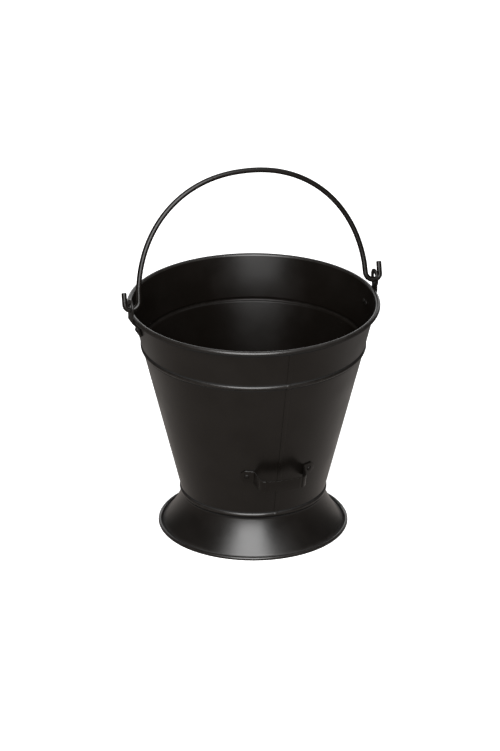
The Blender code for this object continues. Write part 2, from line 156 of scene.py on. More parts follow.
def split_place(tree, vector):
    """The X, Y and Z of a position or a normal."""
    node = tree.nodes.new("ShaderNodeSeparateXYZ")
    tree.links.new(vector, node.inputs["Vector"])
    return node.outputs


def mix_colours(tree, amount, base, over):
    """Mixes a colour over another. Each of them is a socket, a colour or a grey."""
    node = tree.nodes.new("ShaderNodeMix")
    node.data_type = "RGBA"
    tree.links.new(amount, node.inputs["Factor"])
    for socket, shade in ((node.inputs["A"], base), (node.inputs["B"], over)):
        if isinstance(shade, bpy.types.NodeSocket):
            tree.links.new(shade, socket)
        else:
            colour = shade if isinstance(shade, tuple) else (shade, shade, shade)
            socket.default_value = (*colour, 1.0)
    return node.outputs["Result"]


# %% [markdown]
# ## The studio
#
# Black paint shows its form almost only by what it reflects. The wall leans outward, so from
# above its middle mirrors the floor in front, and its sides mirror the floor behind, which has
# to be paler. The foot flares the other way and mirrors one softbox that hangs over the camera,
# as a single soft highlight. The bead, the curls and the rod catch the same light as thin
# lines. A low panel behind lights the sides of the rim, and the far wall of the inside mirrors
# the room over the camera.
#
# The background of the photograph is plain white. So the floor and the room are white to the
# camera. To the paint the room is dim, and the floor glows with painted light that fades from its
# front to its back: painted shade in front of the bucket, a pale glow behind it and close to it,
# and a dim one far behind. A Light Path node tells the two apart.

# %% Shade the floor
FLOOR_WHITE = 0.93
FLOOR_SHOWN = 1.25
FLOOR_GLOW = 0.70
FLOOR_DULL = 0.05
FLOOR_ROUGHNESS = 0.9
# The floor's glow as the paint sees it is painted light: painted shade in front of the bucket,
# pale behind and near it, dim far behind.
FLOOR_FRONT_GLOW = (0.29, 0.247, 0.213)
FLOOR_BACK_GLOW = (1.05, 0.97, 0.91)
FLOOR_FAR_GLOW = (0.10, 0.09, 0.08)
FLOOR_REACH = 0.80
FADE_TURN = math.radians(30)
FADE_START = -0.25
FADE_END = 0.35

floor_paint = bpy.data.materials.new("floor_paint")
floor_paint.use_nodes = True
floor_tree = floor_paint.node_tree
floor_shader = floor_tree.nodes["Principled BSDF"]
floor_shader.inputs["Roughness"].default_value = FLOOR_ROUGHNESS
floor_shader.inputs["Specular IOR Level"].default_value = 0.0
floor_shader.inputs["Emission Strength"].default_value = FLOOR_GLOW

floor_place = floor_tree.nodes.new("ShaderNodeTexCoord").outputs["Object"]
floor_turned = map_place(floor_tree, floor_place, "Rotation", (0.0, 0.0, FADE_TURN))
from_front = split_place(floor_tree, floor_turned)["Y"]
is_behind = add_ramp(floor_tree, from_front, FADE_START, FADE_END)
floor_shrink = (1.0 / FLOOR_REACH, 1.0 / FLOOR_REACH, 1.0)
is_near = floor_tree.nodes.new("ShaderNodeTexGradient")
is_near.gradient_type = "SPHERICAL"
floor_tree.links.new(
    map_place(floor_tree, floor_place, "Scale", floor_shrink), is_near.inputs["Vector"]
)
behind = mix_colours(floor_tree, is_near.outputs["Fac"], FLOOR_FAR_GLOW, FLOOR_BACK_GLOW)
painted_floor_light = mix_colours(floor_tree, is_behind, FLOOR_FRONT_GLOW, behind)

floor_seen = floor_tree.nodes.new("ShaderNodeLightPath").outputs["Is Camera Ray"]
floor_grey = mix_colours(floor_tree, floor_seen, FLOOR_DULL, FLOOR_WHITE)
floor_glow = mix_colours(floor_tree, floor_seen, painted_floor_light, FLOOR_SHOWN)
floor_tree.links.new(floor_grey, floor_shader.inputs["Base Color"])
floor_tree.links.new(floor_glow, floor_shader.inputs["Emission Color"])

# %% Lay the floor
FLOOR_SIZE = 30.0
floor_shape = bmesh.new()
bmesh.ops.create_grid(floor_shape, x_segments=1, y_segments=1, size=FLOOR_SIZE / 2)
floor_mesh = bpy.data.meshes.new("floor")
floor_shape.to_mesh(floor_mesh)
floor_shape.free()
floor_mesh.materials.append(floor_paint)
floor = bpy.data.objects.new("floor", floor_mesh)
scene.collection.objects.link(floor)

# %% Whiten the room
ROOM_WHITE = 1.0
ROOM_REFLECTED = 0.06
room = bpy.data.worlds.new("room")
room.use_nodes = True
scene.world = room
room_tree = room.node_tree
room_seen = room_tree.nodes.new("ShaderNodeLightPath").outputs["Is Camera Ray"]
room_grey = mix_colours(room_tree, room_seen, ROOM_REFLECTED, ROOM_WHITE)
room_tree.links.new(room_grey, room_tree.nodes["Background"].inputs["Color"])
scene.view_settings.view_transform = "Standard"
print("the floor is", FLOOR_SIZE, "m wide")

# %% Hang the lights
# name, azimuth, elevation, distance, width, height, power
LIGHTS = (
    ("softbox", -22.5, 38.0, 2.2, 1.65, 2.5, 112.0),
    ("overhead", 60.0, 84.0, 2.4, 2.6, 2.6, 16.0),
    ("back_panel", 162.0, 13.0, 3.0, 3.6, 1.6, 26.0),
)
LIGHT_AIM = Vector((0.0, 0.0, 0.20))
for name, azimuth, elevation, distance, width, height, power in LIGHTS:
    lamp_data = bpy.data.lights.new(name, "AREA")
    lamp_data.shape = "RECTANGLE"
    lamp_data.size = width
    lamp_data.size_y = height
    lamp_data.energy = power
    lamp = bpy.data.objects.new(name, lamp_data)
    scene.collection.objects.link(lamp)
    way_out = direction(azimuth, elevation)
    lamp.location = LIGHT_AIM + way_out * distance
    lamp.rotation_euler = (-way_out).to_track_quat("-Z", "Y").to_euler()
    print(name, "at", [round(value, 2) for value in lamp.location])

# %% [markdown]
# ## Paint, in three effects
#
# Stove paint is sprayed on, so it dries with a very fine orange-peel skin, is a little duller
# in some places than in others, and is rubbed smoother where hands and the floor touch it.
# Dust lies on what faces up. Each effect is a node group, built once. A material then mixes
# them with its own values, which keeps the black of the sheet, the fittings and the rod alike
# without being the same.


# %% A helper for node groups
def make_group(name, inputs, outputs):
    """A shader node group with named sockets, and its input and output nodes."""
    group = bpy.data.node_groups.new(name, "ShaderNodeTree")
    for label, kind, value in inputs:
        socket = group.interface.new_socket(label, in_out="INPUT", socket_type=kind)
        if value is not None:
            socket.default_value = value
    for label, kind in outputs:
        group.interface.new_socket(label, in_out="OUTPUT", socket_type=kind)
    return group, group.nodes.new("NodeGroupInput"), group.nodes.new("NodeGroupOutput")


# %% The paint skin
VECTOR = "NodeSocketVector"
NUMBER = "NodeSocketFloat"
COLOUR = "NodeSocketColor"

skin, skin_in, skin_out = make_group(
    "paint_skin",
    (
        ("Position", VECTOR, None),
        ("Peel Scale", NUMBER, 700.0),
        ("Grit Scale", NUMBER, 3200.0),
    ),
    (("Height", NUMBER), ("Patch", NUMBER), ("Speck", NUMBER)),
)
position = skin_in.outputs["Position"]
peel = add_noise(skin, position, skin_in.outputs["Peel Scale"], 1.0)
grit = add_noise(skin, position, skin_in.outputs["Grit Scale"], 1.0)
height = calculate(skin, "MULTIPLY_ADD", peel, 0.7)
skin.links.new(calculate(skin, "MULTIPLY", grit, 0.3), height.node.inputs[2])
skin.links.new(height, skin_out.inputs["Height"])
patch = add_noise(skin, position, 16.0, 3.0, 0.55)
skin.links.new(add_ramp(skin, patch, 0.32, 0.68), skin_out.inputs["Patch"])
speck = add_noise(skin, position, 480.0, 0.0)
skin.links.new(add_ramp(skin, speck, 0.72, 0.8), skin_out.inputs["Speck"])

# %% Dust on what faces up
dust, dust_in, dust_out = make_group(
    "settled_dust",
    (("Position", VECTOR, None), ("Normal", VECTOR, None), ("Amount", NUMBER, 0.3)),
    (("Dust", NUMBER),),
)
facing_up = add_ramp(dust, split_place(dust, dust_in.outputs["Normal"])["Z"], 0.25, 0.95)
cloud = add_noise(dust, dust_in.outputs["Position"], 45.0, 6.0, 0.65)
grains = add_noise(dust, dust_in.outputs["Position"], 1500.0, 2.0)
cloud = add_ramp(dust, cloud, 0.35, 0.75)
grains = add_ramp(dust, grains, 0.45, 0.62)
lying = calculate(dust, "MULTIPLY", cloud, grains)
lying = calculate(dust, "MULTIPLY", lying, facing_up)
lying = calculate(dust, "MULTIPLY", lying, dust_in.outputs["Amount"], clamp=True)
dust.links.new(lying, dust_out.inputs["Dust"])

# %% Rubbed paint
# Scuffs are long thin marks, made of a noise that is stretched along one axis.
scuffs, scuffs_in, scuffs_out = make_group(
    "rubbed_paint",
    (("Position", VECTOR, None), ("Where", NUMBER, 0.0), ("Amount", NUMBER, 0.5)),
    (("Rub", NUMBER),),
)
SCUFF_STRETCH = (1.0, 1.0, 0.16)
stretched = map_place(scuffs, scuffs_in.outputs["Position"], "Scale", SCUFF_STRETCH)
broad = add_noise(scuffs, scuffs_in.outputs["Position"], 90.0, 5.0, 0.6)
fine = add_noise(scuffs, stretched, 900.0, 3.0)
broken = calculate(scuffs, "MULTIPLY", add_ramp(scuffs, broad, 0.3, 0.7), 0.7)
broken = calculate(scuffs, "ADD", broken, calculate(scuffs, "MULTIPLY", fine, 0.6))
rub = calculate(scuffs, "MULTIPLY", broken, scuffs_in.outputs["Where"])
rub = calculate(scuffs, "MULTIPLY", rub, scuffs_in.outputs["Amount"], clamp=True)
scuffs.links.new(rub, scuffs_out.inputs["Rub"])
print("node groups:", [group.name for group in bpy.data.node_groups])

# %% [markdown]
# ## The materials
#
# One function mixes the three effects into a Principled shader. The black is a warm near black, a
# little paler where it is rubbed or dusty. Roughness changes over the surface, and the skin's
# height goes through a Bump node. The rubbed places are given by height above the floor, because
# the rim, the beads and the foot's edge each lie at their own height. In the grooves beside them
# the paint gets painted shade, as rings that are darker and duller. The inside got less paint
# than the outside, so it has a duller coat of its own.


# %% Helpers for a material
def use_group(tree, group, **values):
    """Places a node group in a material, with its own values."""
    node = tree.nodes.new("ShaderNodeGroup")
    node.node_tree = group
    for label, value in values.items():
        socket = node.inputs[label.replace("_", " ")]
        if isinstance(value, (int, float)):
            socket.default_value = value
        else:
            tree.links.new(value, socket)
    return node


def height_bands(tree, z, bands):
    """One near each of the heights in the list, and zero elsewhere."""
    total = None
    for centre, reach in bands:
        off = calculate(tree, "ABSOLUTE", calculate(tree, "SUBTRACT", z, centre), 0.0)
        near = calculate(tree, "SUBTRACT", 1.0, add_ramp(tree, off, reach * 0.4, reach))
        total = near if total is None else calculate(tree, "MAXIMUM", total, near)
    return total


def ring_bands(tree, place, height, rings):
    """One on each ring around the axis, given by radius, height and reach, and zero elsewhere."""
    level = tree.nodes.new("ShaderNodeVectorMath")
    level.operation = "MULTIPLY"
    level.inputs[1].default_value = (1.0, 1.0, 0.0)
    tree.links.new(place, level.inputs[0])
    radius = tree.nodes.new("ShaderNodeVectorMath")
    radius.operation = "LENGTH"
    tree.links.new(level.outputs["Vector"], radius.inputs[0])
    section = tree.nodes.new("ShaderNodeCombineXYZ")
    tree.links.new(radius.outputs["Value"], section.inputs["X"])
    tree.links.new(height, section.inputs["Y"])
    total = None
    for ring_radius, ring_height, reach in rings:
        away = tree.nodes.new("ShaderNodeVectorMath")
        away.operation = "DISTANCE"
        away.inputs[1].default_value = (ring_radius, ring_height, 0.0)
        tree.links.new(section.outputs["Vector"], away.inputs[0])
        near = add_ramp(tree, away.outputs["Value"], reach * 0.5, reach)
        near = calculate(tree, "SUBTRACT", 1.0, near)
        total = near if total is None else calculate(tree, "MAXIMUM", total, near)
    return total


# %% A black stove paint
BLACK_DEEP = (0.0034, 0.0026, 0.0020)
BLACK_PALE = (0.0046, 0.0036, 0.0029)
BLACK_RUBBED = (0.0210, 0.0190, 0.0175)
# Painted shade for the grooves beside the curls and beads.
GROOVE_PAINTED_SHADE = (0.0012, 0.0010, 0.0009)
DUST_GREY = (0.110, 0.103, 0.094)
PATCH_ROUGHER = 0.07
RUB_SMOOTHER = 0.06
DUST_ROUGHER = 0.50
GROOVE_ROUGHER = 0.55
SKIN_DEPTH = 0.00012
SPECK_SHARE = 0.35


def black_paint(
    name, bands, roughness, dusting, rubbing, bump, shine, peel_scale=700.0, shade_rings=()
):
    """Satin black stove paint on steel, rubbed at the given heights, with rings of painted shade
    that make it darker and duller in the grooves.
    """
    paint = bpy.data.materials.new(name)
    paint.use_nodes = True
    tree = paint.node_tree
    shader = tree.nodes["Principled BSDF"]
    place = tree.nodes.new("ShaderNodeTexCoord").outputs["Object"]
    normal = tree.nodes.new("ShaderNodeNewGeometry").outputs["Normal"]
    height = split_place(tree, place)["Z"]

    surface = use_group(tree, skin, Position=place, Peel_Scale=peel_scale)
    settled = use_group(tree, dust, Position=place, Normal=normal, Amount=dusting)
    where = height_bands(tree, height, bands)
    worn = use_group(tree, scuffs, Position=place, Where=where, Amount=rubbing)

    colour = mix_colours(tree, surface.outputs["Patch"], BLACK_DEEP, BLACK_PALE)
    colour = mix_colours(tree, worn.outputs["Rub"], colour, BLACK_RUBBED)
    colour = mix_colours(tree, settled.outputs["Dust"], colour, DUST_GREY)

    rough = calculate(tree, "MULTIPLY_ADD", surface.outputs["Patch"], PATCH_ROUGHER)
    rough.node.inputs[2].default_value = roughness
    smoother = calculate(tree, "MULTIPLY", worn.outputs["Rub"], RUB_SMOOTHER)
    rough = calculate(tree, "SUBTRACT", rough, smoother)
    rougher = calculate(tree, "MULTIPLY", settled.outputs["Dust"], DUST_ROUGHER)
    rough = calculate(tree, "ADD", rough, rougher, True)
    # Painted shade: the grooves are darkened and made duller in rings.
    if shade_rings:
        groove_shade = ring_bands(tree, place, height, shade_rings)
        colour = mix_colours(tree, groove_shade, colour, GROOVE_PAINTED_SHADE)
        rougher = calculate(tree, "MULTIPLY", groove_shade, GROOVE_ROUGHER)
        rough = calculate(tree, "ADD", rough, rougher, True)
    tree.links.new(colour, shader.inputs["Base Color"])
    tree.links.new(rough, shader.inputs["Roughness"])

    relief = tree.nodes.new("ShaderNodeBump")
    relief.inputs["Strength"].default_value = bump
    relief.inputs["Distance"].default_value = SKIN_DEPTH
    lumps = calculate(tree, "MULTIPLY", surface.outputs["Speck"], SPECK_SHARE)
    lumps = calculate(tree, "ADD", surface.outputs["Height"], lumps)
    tree.links.new(lumps, relief.inputs["Height"])
    tree.links.new(relief.outputs["Normal"], shader.inputs["Normal"])
    shader.inputs["Specular IOR Level"].default_value = shine
    return paint


# %% Mix the paints
# Radius, height and reach of each ring of painted shade, dark and dull, in the grooves beside the
# curls and beads and where the foot's curl meets the floor.
GROOVE_SHADE_RINGS = (
    (0.1889, 0.3554, 0.0026),
    (0.1820, 0.3525, 0.0026),
    (0.1683, 0.2983, 0.0018),
    (0.1662, 0.2897, 0.0015),
    (0.1099, 0.0640, 0.0018),
    (0.1093, 0.0553, 0.0020),
    (0.1382, 0.0047, 0.0027),
    (0.1430, 0.0003, 0.0020),
)

# Height and reach of each band where the paint is rubbed.
SHEET_RUBBED = ((0.3615, 0.0035), (0.2945, 0.0030), (0.0610, 0.0028), (0.0030, 0.0050))
INSIDE_RUBBED = ((0.2945, 0.0030),)
EAR_RUBBED = ((0.3890, 0.0040),)
ROD_RUBBED = ((0.3705, 0.0040),)

sheet_paint = black_paint(
    "sheet_paint",
    SHEET_RUBBED,
    roughness=0.29,
    dusting=0.03,
    rubbing=0.45,
    bump=0.45,
    shine=0.50,
    shade_rings=GROOVE_SHADE_RINGS,
)
inside_paint = black_paint(
    "inside_paint",
    INSIDE_RUBBED,
    roughness=0.29,
    dusting=0.06,
    rubbing=0.30,
    bump=0.50,
    shine=0.15,
)
fitting_paint = black_paint(
    "fitting_paint",
    EAR_RUBBED,
    roughness=0.30,
    dusting=0.04,
    rubbing=0.50,
    bump=0.50,
    shine=0.40,
    peel_scale=900.0,
)
rivet_paint = black_paint(
    "rivet_paint",
    EAR_RUBBED,
    roughness=0.50,
    dusting=0.04,
    rubbing=0.30,
    bump=0.50,
    shine=0.25,
    peel_scale=900.0,
)
rod_paint = black_paint(
    "rod_paint",
    ROD_RUBBED,
    roughness=0.27,
    dusting=0.04,
    rubbing=0.60,
    bump=0.40,
    shine=0.34,
    peel_scale=900.0,
)

# %% Bare wire
WIRE_DARK = (0.26, 0.25, 0.24)
WIRE_PALE = (0.48, 0.47, 0.46)
WIRE_ROUGHNESS = 0.3
WIRE_ROUGHER = 0.25

wire_steel = bpy.data.materials.new("wire_steel")
wire_steel.use_nodes = True
wire_tree = wire_steel.node_tree
wire_shader = wire_tree.nodes["Principled BSDF"]
wire_shader.inputs["Metallic"].default_value = 1.0
wire_place = wire_tree.nodes.new("ShaderNodeTexCoord").outputs["Object"]
wire_grain = add_noise(wire_tree, wire_place, 1400.0, 3.0)
wire_colour = mix_colours(wire_tree, wire_grain, WIRE_DARK, WIRE_PALE)
wire_tree.links.new(wire_colour, wire_shader.inputs["Base Color"])
wire_rough = calculate(wire_tree, "MULTIPLY_ADD", wire_grain, WIRE_ROUGHER)
wire_rough.node.inputs[2].default_value = WIRE_ROUGHNESS
wire_tree.links.new(wire_rough, wire_shader.inputs["Roughness"])
print("materials:", [material.name for material in bpy.data.materials])

# %% [markdown]
# ## Turned sheet
#
# The body, the foot and the floor are all surfaces of revolution. On a lathe the sheet is
# pressed over a former while it spins, and a bmesh can do the same: a profile of a few points
# is drawn on edge, its corners are rounded with a vertex bevel, its curl is a spin about the
# wire, and one full spin about Z turns the profile into a skin. A Solidify modifier then gives
# the skin the thickness of the sheet. The Screw modifier would do the turn as well, but the
# spin leaves a mesh whose points can still be picked.

# %% Helpers for turned pieces
TURN_STEPS = 240
WELD = 0.000001
UPWARD = (0.0, 0.0, 1.0)


def draw_profile(points):
    """A chain of edges in the XZ plane, through points of radius and height."""
    shape = bmesh.new()
    verts = [shape.verts.new((radius, 0.0, height)) for radius, height in points]
    for first, second in zip(verts, verts[1:]):
        shape.edges.new((first, second))
    return shape, verts


def round_corner(shape, vert, setback, segments):
    """Rounds one corner of a chain, starting the bend the setback away from it."""
    bmesh.ops.bevel(
        shape,
        geom=[vert],
        offset=setback,
        offset_type="OFFSET",
        segments=segments,
        profile=0.5,
        affect="VERTICES",
        material=-1,
    )


def spin_parts(shape, parts, centre, axis, turn, steps, close=False):
    """Turns parts of a shape about an axis, and joins each step to the one before it."""
    bmesh.ops.spin(
        shape,
        geom=parts,
        cent=centre,
        axis=axis,
        dvec=(0.0, 0.0, 0.0),
        angle=turn,
        steps=steps,
        use_merge=close,
        use_normal_flip=False,
        use_duplicate=False,
    )


def curl_end(shape, vert, centre, turn, steps):
    """Rolls the end of a chain round a centre; a positive turn goes from X towards Z."""
    spin_parts(shape, [vert], (centre[0], 0.0, centre[1]), (0.0, -1.0, 0.0), turn, steps)


def points_in(result):
    """The points among what an operator has made."""
    return [item for item in result["geom"] if isinstance(item, bmesh.types.BMVert)]


def walk_chain(shape, start):
    """The chain's points in order, from a given end."""
    path = [start]
    before = None
    while True:
        ahead = [e.other_vert(path[-1]) for e in path[-1].link_edges if e is not before]
        if not ahead:
            return [vert.co.copy() for vert in path]
        before = next(e for e in path[-1].link_edges if e is not before)
        path.append(ahead[0])


def spin_about_z(shape, steps=TURN_STEPS):
    """Turns everything in the shape once about Z, and closes the skin."""
    profile_parts = shape.verts[:] + shape.edges[:]
    spin_parts(shape, profile_parts, (0.0, 0.0, 0.0), UPWARD, math.tau, steps, close=True)
    bmesh.ops.remove_doubles(shape, verts=shape.verts, dist=WELD)
    bmesh.ops.recalc_face_normals(shape, faces=shape.faces)


# %% Helpers that finish a piece
def make_piece(name, shape, material, body, slot, *nodes):
    """Makes an object of a shape. It rides a body and stands for CAD nodes."""
    mesh = bpy.data.meshes.new(name)
    shape.to_mesh(mesh)
    shape.free()
    mesh.materials.append(material)
    piece = bpy.data.objects.new(name, mesh)
    scene.collection.objects.link(piece)
    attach(piece, body)
    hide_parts(*nodes)
    return piece


def settle(piece, sharp_degrees=40.0):
    """Applies the piece's modifiers, and makes its round faces smooth."""
    graph = bpy.context.evaluated_depsgraph_get()
    old = piece.data
    piece.data = bpy.data.meshes.new_from_object(piece.evaluated_get(graph))
    piece.modifiers.clear()
    bpy.data.meshes.remove(old)
    piece.data.name = piece.name
    piece.data.shade_smooth()
    piece.data.set_sharp_from_angle(angle=math.radians(sharp_degrees))
    print(piece.name, "has", len(piece.data.polygons), "faces")
    return piece


def thicken(piece, thickness, offset):
    """Gives a skin the thickness of its sheet; offset 0 keeps the skin in the middle."""
    sheet = piece.modifiers.new("sheet", "SOLIDIFY")
    sheet.thickness = thickness
    sheet.offset = offset
    sheet.use_even_offset = True
    return piece


def round_edges(piece, width, segments=3, degrees=50.0):
    """Takes the sharpness off every edge that is steeper than the angle."""
    bevel = piece.modifiers.new("edges", "BEVEL")
    bevel.width = width
    bevel.segments = segments
    bevel.limit_method = "ANGLE"
    bevel.angle_limit = math.radians(degrees)
    bevel.use_clamp_overlap = True
    return piece


# %% [markdown]
# ## The body
#
# The real body is one cone of sheet. At the top it is rolled outward over a wire, below that a
# bead is swaged into it to keep it round, and at the bottom a second bead sits on the foot.
# The wall runs straight from the waist to the curl, so the profile needs only the corner
# points of each bead, which the vertex bevel then rounds.

# %% Sizes of the body
SHEET = 0.0010
RIM_RADIUS = 0.1900
RIM_HEIGHT = 0.3620
RIM_CURL = 0.0076
RIM_CURL_TURN = math.radians(285)
WAIST_RADIUS = 0.1088
WAIST_HEIGHT = 0.0595
WAIST_BEAD_RISE = 0.0026
WAIST_BEAD_HALF_WIDTH = 0.0038
SWAGE_HEIGHT = 0.2940
SWAGE_RISE = 0.0022
SWAGE_HALF_WIDTH = 0.0035
COLLAR_HEIGHT = 0.0115
LIP_WIDTH = 0.0050

rim_centre = Vector((RIM_RADIUS - RIM_CURL / 2, RIM_HEIGHT - RIM_CURL / 2))
rim_roll = (RIM_CURL - SHEET) / 2
waist_point = Vector((WAIST_RADIUS - SHEET / 2, WAIST_HEIGHT))
to_rim = rim_centre - waist_point
wall_angle = math.atan2(to_rim.y, to_rim.x) + math.asin(rim_roll / to_rim.length)
up_wall = Vector((math.cos(wall_angle), math.sin(wall_angle)))
off_wall = Vector((math.sin(wall_angle), -math.cos(wall_angle)))
wall_lean = math.pi / 2 - wall_angle
print("the wall leans", round(math.degrees(wall_lean), 2), "degrees")


def wall_point(height, along=0.0, off=0.0):
    """A point on the middle of the sheet at a height, moved up the slope and off the wall."""
    rise = (height - WAIST_HEIGHT) / up_wall.y
    return waist_point + up_wall * (rise + along) + off_wall * off


# %% Draw the body's profile
BEAD_SHOULDER_SHARE = 0.55
BEAD_FOOT_BEND = 0.0010
BEAD_SHOULDER_BEND = 0.0012
COLLAR_BEND = 0.0010
COLLAR_STEPS = 4
BEAD_STEPS = 6
CURL_STEPS = 28


def bead_points(height, rise, half_width):
    """The corners of a bead: its lower foot, two shoulders and its upper foot."""
    shoulder = half_width * (1.0 - BEAD_SHOULDER_SHARE)
    return [
        wall_point(height, -half_width),
        wall_point(height, -shoulder, rise),
        wall_point(height, shoulder, rise),
        wall_point(height, half_width),
    ]


collar_end = wall_point(WAIST_HEIGHT - COLLAR_HEIGHT)
waist_bead = bead_points(WAIST_HEIGHT, WAIST_BEAD_RISE, WAIST_BEAD_HALF_WIDTH)
swage_bead = bead_points(SWAGE_HEIGHT, SWAGE_RISE, SWAGE_HALF_WIDTH)
wall_top = rim_centre - off_wall * rim_roll
corners = [collar_end - Vector((LIP_WIDTH, 0.0)), collar_end]
corners += waist_bead + swage_bead + [wall_top]
profile, profile_verts = draw_profile(corners)
round_corner(profile, profile_verts[1], COLLAR_BEND, COLLAR_STEPS)
for number, corner in enumerate(profile_verts[2:10]):
    bend = BEAD_FOOT_BEND if number % 4 in (0, 3) else BEAD_SHOULDER_BEND
    round_corner(profile, corner, bend, BEAD_STEPS)
ends = [vert for vert in profile.verts if len(vert.link_edges) == 1]
lip_end = min(ends, key=lambda vert: vert.co.z)
top_end = max(ends, key=lambda vert: vert.co.z)
wall_line = walk_chain(profile, lip_end)
curl_end(profile, top_end, rim_centre, -RIM_CURL_TURN, CURL_STEPS)
print("the profile has", len(profile.verts), "points")

# %% Turn the body
spin_about_z(profile)
bucket_body = make_piece(
    "bucket_body", profile, sheet_paint, "bucket", "satin_black_sheet", "body_shell"
)
settle(thicken(bucket_body, SHEET, 0.0))

# %% Paint the inside
bucket_body.data.materials.append(inside_paint)
inner_faces = 0
for face in bucket_body.data.polygons:
    outward = face.normal.x * face.center.x + face.normal.y * face.center.y
    if outward < 0.0 and face.center.z < RIM_HEIGHT - RIM_CURL:
        face.material_index = 1
        inner_faces += 1
print("faces of the duller inside:", inner_faces)

# %% [markdown]
# ## The lock seam
#
# The sheet's two ends are hooked into each other and hammered flat, so a low strip with soft
# edges runs up the front and climbs over the bead. It follows the wall's own profile: the
# chain of edges is extruded sideways, thickened outwards and rounded.

# %% Lay the seam on the wall
SEAM_WIDTH = 0.0065
SEAM_RISE = 0.0010
SEAM_EDGE = 0.0006
SEAM_TURN = Matrix.Rotation(math.radians(-90), 4, "Z")
seam_low = wall_point(WAIST_HEIGHT)[1]
seam_high = wall_point(RIM_HEIGHT - RIM_CURL)[1]
seam_line = [(p.x, p.z) for p in wall_line if seam_low < p.z < seam_high]
seam_line.append(tuple(wall_top - up_wall * (RIM_CURL / 2)))
seam, seam_verts = draw_profile(seam_line)
bmesh.ops.translate(seam, verts=seam.verts, vec=(0.0, -SEAM_WIDTH / 2, 0.0))
grown = bmesh.ops.extrude_edge_only(seam, edges=seam.edges)
bmesh.ops.translate(seam, verts=points_in(grown), vec=(0.0, SEAM_WIDTH, 0.0))
bmesh.ops.recalc_face_normals(seam, faces=seam.faces)
if sum(face.normal.x for face in seam.faces) < 0.0:
    bmesh.ops.reverse_faces(seam, faces=seam.faces)
bmesh.ops.transform(seam, matrix=SEAM_TURN, verts=seam.verts)
lock_seam = make_piece(
    "lock_seam", seam, sheet_paint, "bucket", "satin_black_sheet", "body_shell"
)
thicken(lock_seam, SHEET / 2 + SEAM_RISE, 1.0)
settle(round_edges(lock_seam, SEAM_EDGE))

# %% [markdown]
# ## The wires, the floor and the foot
#
# The wires inside the two curls are plain rings. The floor is a dished disc that rests on the
# body's lip. The foot is a skirt that flares like the bell of a trumpet, so it is another arc
# of a spin, and its edge is rolled outward over its own wire. So the bucket stands on a round
# edge and not on a cut one.

# %% Bend the wires
WIRE_GAP = 0.0003
WIRE_SIDES = 16


def make_wire(name, centre, radius, node):
    """A round wire bent into a ring: a small circle turned about Z."""
    shape = bmesh.new()
    bmesh.ops.create_circle(shape, segments=WIRE_SIDES, radius=radius)
    stand = Matrix.Translation((centre[0], 0.0, centre[1]))
    stand = stand @ Matrix.Rotation(math.radians(90), 4, "X")
    bmesh.ops.transform(shape, matrix=stand, verts=shape.verts)
    spin_about_z(shape)
    return settle(make_piece(name, shape, wire_steel, "bucket", "curl_wire", node))


make_wire("rim_ring", rim_centre, RIM_CURL / 2 - SHEET - WIRE_GAP, "rim_wire")

# %% Press the floor
SEAT_GAP = 0.0003
PAN_DEPTH = 0.0125
PAN_BEND = 0.0048
PAN_BEND_STEPS = 8
pan_off = -(SHEET / 2 + SEAT_GAP + SHEET / 2)
flange_end = wall_point(collar_end.y + SHEET / 2 + SEAT_GAP, 0.0, pan_off)
pan_corner = flange_end + up_wall * (PAN_DEPTH / up_wall.y)
pan, pan_verts = draw_profile([(0.0, pan_corner.y), pan_corner, flange_end])
round_corner(pan, pan_verts[1], PAN_BEND, PAN_BEND_STEPS)
spin_about_z(pan)
floor_disc = make_piece(
    "floor_disc", pan, inside_paint, "bucket", "satin_black_sheet", "floor_pan"
)
settle(thicken(floor_disc, SHEET, 0.0))

# %% Spin the foot
FOOT_RADIUS = 0.1440
FOOT_CURL = 0.0055
FOOT_CURL_TURN = math.radians(250)
FOOT_FLAT = 0.0012
NECK_LENGTH = 0.0022
NECK_SETBACK = 0.0009
NECK_STEPS = 6
TUCK_STEPS = 6
FLARE_TURN = math.radians(28)
neck_off = SHEET / 2 + SEAT_GAP + SHEET / 2
foot_roll = (FOOT_CURL - SHEET) / 2
outer_centre = Vector((FOOT_RADIUS - FOOT_CURL / 2, FOOT_CURL / 2))
inner_centre = outer_centre - Vector((FOOT_FLAT, 0.0))
neck_top = wall_point(WAIST_HEIGHT, -WAIST_BEAD_HALF_WIDTH - SEAT_GAP, neck_off)
neck_end = neck_top - up_wall * NECK_LENGTH
to_foot = inner_centre - neck_end
half_turn = FLARE_TURN / 2
chord_angle = math.atan2(to_foot.y, to_foot.x)
chord_angle -= math.asin(foot_roll * math.cos(half_turn) / to_foot.length)
start_angle = chord_angle - half_turn
end_angle = chord_angle + half_turn
touch = inner_centre + Vector((math.sin(end_angle), -math.cos(end_angle))) * foot_roll
flare_radius = (touch - neck_end).length / 2 / math.sin(half_turn)
flare_centre = neck_end + Vector((-math.sin(start_angle), math.cos(start_angle))) * flare_radius
print("the foot flares on an arc of", round(flare_radius * 1000, 1), "mm")

